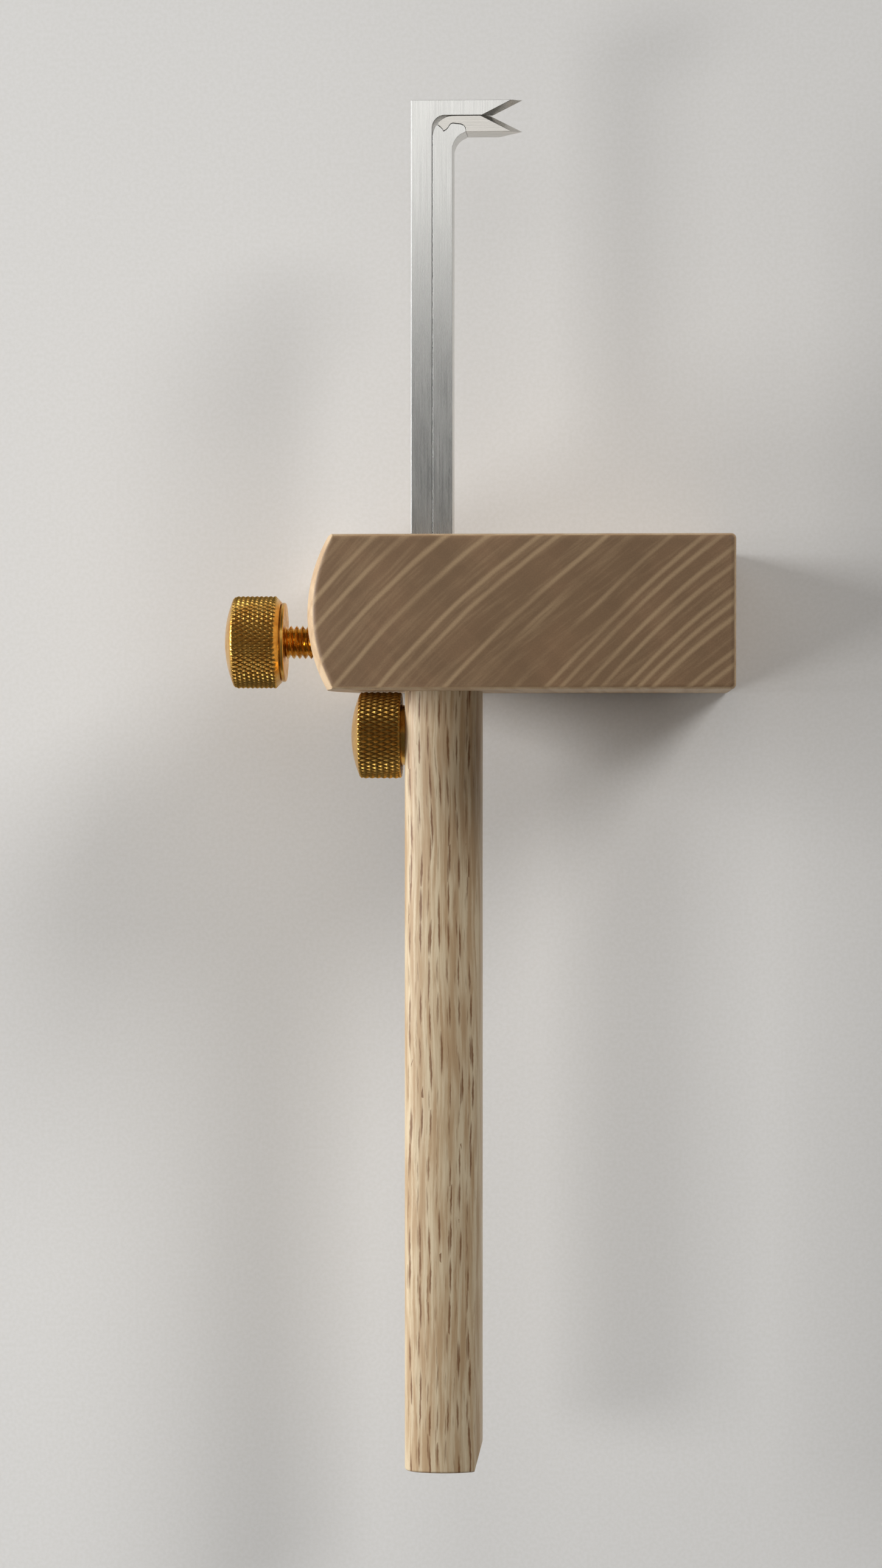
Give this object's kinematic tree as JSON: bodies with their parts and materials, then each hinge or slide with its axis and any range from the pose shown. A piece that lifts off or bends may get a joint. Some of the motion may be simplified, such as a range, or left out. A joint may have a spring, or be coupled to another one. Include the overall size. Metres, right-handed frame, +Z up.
{
  "type": "marking gauge",
  "caption": "Wooden mortise marking gauge: a fence block on a slim stem, hooked steel blades that slide through it, and knurled brass clamp screws.",
  "frame": {"origin": "on the end of the fence that the gauge stands on, on the stem's centre plane and at the middle of the fence's thickness", "axes": "+X is the way the blade hooks point, +Y runs along the stem towards the blades, +Z runs up along the fence's grain"},
  "size_m": [0.0879, 0.2359, 0.084],
  "materials": {
    "fence_wood": "oiled hardwood, its end grain darker with broad pale rays",
    "stem_wood": "pale oiled hardwood with short brown flecks along the grain",
    "brass": "turned and polished, diamond knurl",
    "blade_steel": "satin, ground lengthwise",
    "edge_steel": "fine ground hardened steel"
  },
  "bodies": {
    "fence": {"fence_block": "fence_wood", "fence_thread_bush": "brass"},
    "fence_shoe": {"fence_clamp_shoe": "brass"},
    "fence_screw": {"fence_thumb_screw": "brass"},
    "stem": {"stem": "stem_wood", "stem_channel_cover": "stem_wood", "stem_clamp_barrel": "brass"},
    "stem_shoe": {"stem_clamp_shoe": "brass"},
    "stem_screw": {"stem_thumb_screw": "brass"},
    "inner_blade": {"inner_blade_bar": "blade_steel", "inner_blade_edge": "edge_steel"},
    "outer_blade": {"outer_blade": "blade_steel"}
  },
  "joints": [
    {"name": "stem_slide", "type": "slide", "parent": "fence", "child": "stem", "axis": [0, 1, 0], "range_m": [-0.012, 0]},
    {"name": "inner_blade_slide", "type": "slide", "parent": "stem", "child": "inner_blade", "axis": [0, 1, 0], "range_m": [-0.058, 0.015]},
    {"name": "outer_blade_slide", "type": "slide", "parent": "inner_blade", "child": "outer_blade", "axis": [0, 1, 0], "range_m": [0, 0.02]},
    {"name": "fence_screw_turn", "type": "hinge", "parent": "fence_shoe", "child": "fence_screw", "pos_m": [-0.02, -0.00425, 0.042], "axis": [1, 0, 0], "range_deg": [-721, 1]},
    {"name": "fence_shoe_slide", "type": "slide", "parent": "fence", "child": "fence_shoe", "axis": [1, 0, 0], "range_m": [-0.002, 0]},
    {"name": "stem_screw_turn", "type": "hinge", "parent": "stem_shoe", "child": "stem_screw", "pos_m": [-0.01, -0.02035, 0.042], "axis": [1, 0, 0], "range_deg": [-361, 1]},
    {"name": "stem_shoe_slide", "type": "slide", "parent": "stem", "child": "stem_shoe", "axis": [1, 0, 0], "range_m": [-0.0008, 0]}
  ],
  "couplings": [
    {"joint": "fence_screw_turn", "follows": "fence_shoe_slide", "rad_per_m": 6283.2},
    {"joint": "stem_screw_turn", "follows": "stem_shoe_slide", "rad_per_m": 7854}
  ]
}
